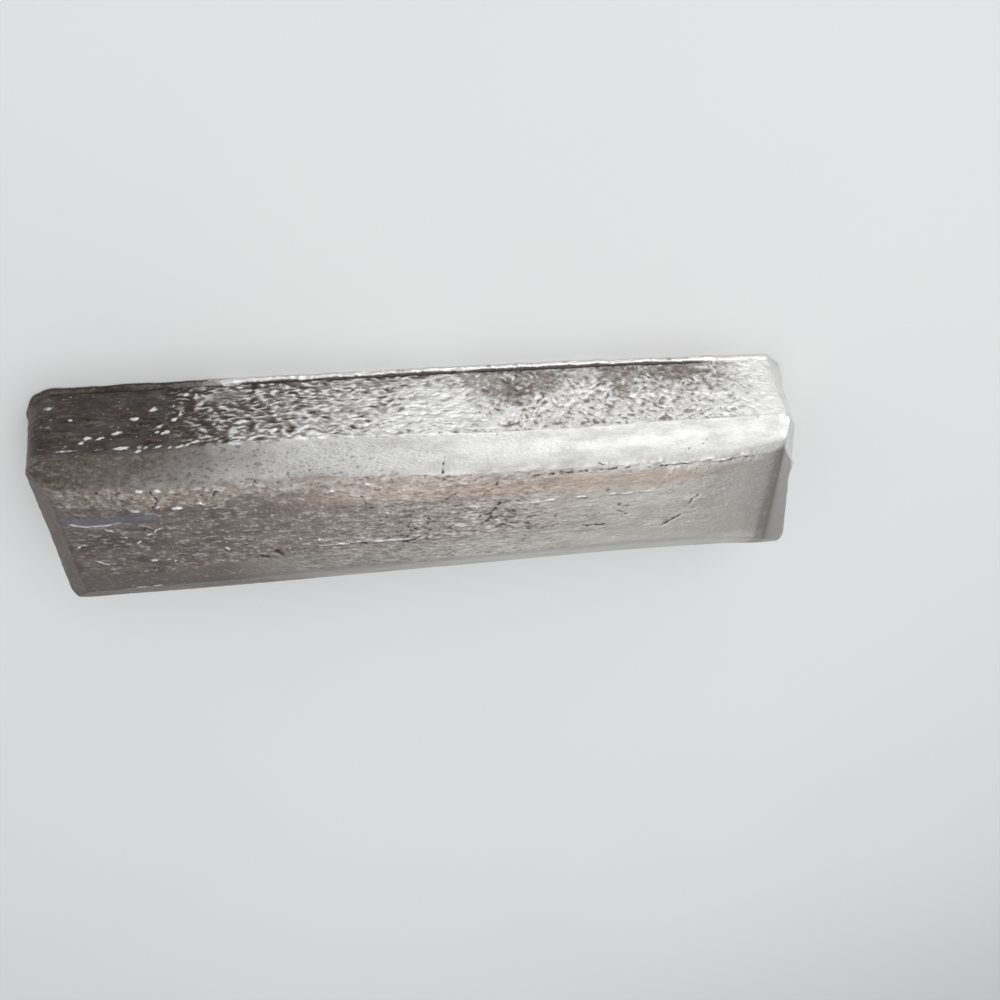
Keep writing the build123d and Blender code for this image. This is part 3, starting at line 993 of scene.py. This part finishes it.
    # The crumbling fringe: painted shade in its hollows and painted highlights on its lumps, darker towards
    # the left end.
    lump = plus(layer("crumb"), times(minus(crossed, 0.5), 1.8))
    crumb_base = mix(span(shifted, -0.16, -0.05), (0.33, 0.275, 0.237), (0.49, 0.43, 0.39))
    crumb_base = mix(span(shifted, 0.02, 0.09), crumb_base, (0.66, 0.64, 0.615))
    crumb_tone = mix(span(lump, -0.95, -0.45), (0.13, 0.105, 0.095), crumb_base)
    crumb_tone = mix(span(lump, 0.15, 1.2), crumb_tone, (0.74, 0.70, 0.65))
    colour = mix(times(layer("crumb_on"), 0.85), colour, crumb_tone)

    stain = times(span(mottle, 0.46, 0.75, 0.0, 0.30), span(along, -0.2, 0.1, 1.0, 0.45))
    colour = mix(stain, colour, (0.17, 0.145, 0.13))
    flecks = times(span(speckle, 0.55, 0.75, 0.0, 0.2), layer("crown"))
    colour = mix(flecks, colour, (0.80, 0.79, 0.77))
    # Flakes on the crown: painted highlights on their raised parts and painted shade in their hollows.
    flakes = plus(lumps((5.0, 2.0, 4.0), 71.3), times(lumps((2.2, 1.3, 2.0), 73.9), 0.8))
    flakes = plus(flakes, times(minus(crossed, 0.5), 1.2))
    colour = mix(times(span(flakes, 0.15, 0.9, 0.0, 0.70), layer("flake_highlight_and_shade")), colour, (0.66, 0.645, 0.62))
    colour = mix(times(span(flakes, -0.12, -0.85, 0.0, 0.72), layer("flake_highlight_and_shade")), colour, (0.105, 0.088, 0.078))
    colour = mix(times(layer("cool"), 0.75), colour, (0.20, 0.21, 0.25))
    # Painted highlights from the bright field and painted shade from the dark field, broken up by noise.
    broken = times(minus(crossed, 0.5), 0.9)
    shining = span(plus(layer("bright"), broken), 0.18, 0.72)
    colour = mix(times(shining, span(layer("bright"), 0.05, 0.5)), colour, (0.86, 0.845, 0.83))
    sunken = span(minus(layer("dark"), broken), 0.15, 0.80)
    sunken = times(sunken, span(layer("dark"), 0.05, 0.4))
    colour = mix(times(sunken, 0.9), colour, (0.040, 0.033, 0.030))
    feed(nodes.shader.inputs["Base Color"], colour)
    nodes.shader.inputs["Metallic"].default_value = 1.0

    sheen = plus(span(mottle, 0.3, 0.7, 0.40, 0.54), span(fine, 0.3, 0.7, -0.05, 0.05))
    sheen = minus(sheen, times(layer("bright"), 0.12))
    feed(nodes.shader.inputs["Roughness"], sheen)

    relief = times(times(field, layer("wrinkled")), 0.45)
    relief = plus(relief, times(times(flakes, layer("flake_highlight_and_shade")), 0.35))
    grainy = plus(grain(900.0, 5.0, (0.6, 1.0, 1.0)), relief)
    bumps = nodes.add("ShaderNodeBump")
    bumps.inputs["Strength"].default_value = 0.55
    bumps.inputs["Distance"].default_value = 0.0006
    feed(bumps.inputs["Height"], grainy)
    feed(nodes.shader.inputs["Normal"], bumps.outputs["Normal"])
    return nodes.material


casting.data.materials.clear()
casting.data.materials.append(cast_metal())
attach(casting, "root")
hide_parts("ingot")


# The floor, the light and the camera

def floor_material():
    """A pale matt floor that keeps the shadow near the ingot and fades into the pale grey backdrop."""
    nodes = Nodes("floor_pale")
    tint = nodes.mix(nodes.span(nodes.grain(3.0, 2.0), 0.3, 0.7), (0.80, 0.80, 0.79), (0.785, 0.785, 0.78))
    nodes.feed(nodes.shader.inputs["Base Color"], tint)
    nodes.shader.inputs["Roughness"].default_value = 0.9
    distance = nodes.add("ShaderNodeVectorMath", operation="LENGTH")
    nodes.feed(distance.inputs[0], nodes.place)
    glow = nodes.add("ShaderNodeEmission")
    glow.inputs["Color"].default_value = (*BACKDROP, 1.0)
    glow.inputs["Strength"].default_value = BACKDROP_STRENGTH
    blend = nodes.add("ShaderNodeMixShader")
    nodes.feed(blend.inputs["Fac"], nodes.span(distance.outputs["Value"], 0.7, 1.9))
    nodes.feed(blend.inputs[1], nodes.shader.outputs["BSDF"])
    nodes.feed(blend.inputs[2], glow.outputs["Emission"])
    nodes.feed(nodes.tree.nodes["Material Output"].inputs["Surface"], blend.outputs["Shader"])
    return nodes.material


BACKDROP = (0.60, 0.61, 0.63)
BACKDROP_STRENGTH = 0.85
floor_mesh = mesh_from(
    "floor",
    np.array([(-4.0, -4.0, -0.0003), (4.0, -4.0, -0.0003), (4.0, 4.0, -0.0003), (-4.0, 4.0, -0.0003)]),
    np.array([(0, 1, 2, 3)]),
)
floor_mesh.materials.append(floor_material())
floor = bpy.data.objects.new("floor", floor_mesh)
bpy.context.scene.collection.objects.link(floor)


def softbox(name, place, size, watts):
    lamp = bpy.data.lights.new(name, "AREA")
    lamp.shape = "SQUARE"
    lamp.size = size
    lamp.energy = watts
    holder = bpy.data.objects.new(name, lamp)
    bpy.context.scene.collection.objects.link(holder)
    back = np.array(place) / np.linalg.norm(place)
    right = np.cross((0.0, 0.0, 1.0), back)
    right /= np.linalg.norm(right)
    up = np.cross(back, right)
    holder.matrix_world = Matrix(
        [(right[i], up[i], back[i], place[i]) for i in range(3)] + [(0.0, 0.0, 0.0, 1.0)]
    )


softbox("key", (0.60, 0.80, 1.25), 1.3, 4.4)
softbox("top", (0.15, -0.55, 1.45), 1.0, 5.6)
softbox("near", (0.55, 1.45, 0.60), 1.2, 7.0)
softbox("fill", (-1.2, 0.7, 0.8), 1.0, 2.0)

world = bpy.data.worlds.new("studio")
world.use_nodes = True
sky = world.node_tree.nodes["Background"]
sky.inputs["Color"].default_value = (*BACKDROP, 1.0)
sky.inputs["Strength"].default_value = BACKDROP_STRENGTH
bpy.context.scene.world = world
bpy.context.scene.view_settings.view_transform = "Standard"

# The camera is on the near side and looks down at about 48 degrees. It is turned over, so that the near
# wall is at the top of the picture, as in the photo.
camera_data = bpy.data.cameras.new("camera")
camera_data.sensor_width = 36.0
camera_data.lens = 33.55
camera_data.shift_x = -0.04
camera = bpy.data.objects.new("camera", camera_data)
camera.matrix_world = Matrix(
    [
        (0.9882916, 0.0726298, -0.1341813, -0.0130233),
        (0.0332749, 0.7556675, 0.6541096, 0.3435409),
        (0.1489043, -0.6509159, 0.7444031, 0.4367314),
        (0.0, 0.0, 0.0, 1.0),
    ]
)
bpy.context.scene.collection.objects.link(camera)
bpy.context.scene.camera = camera
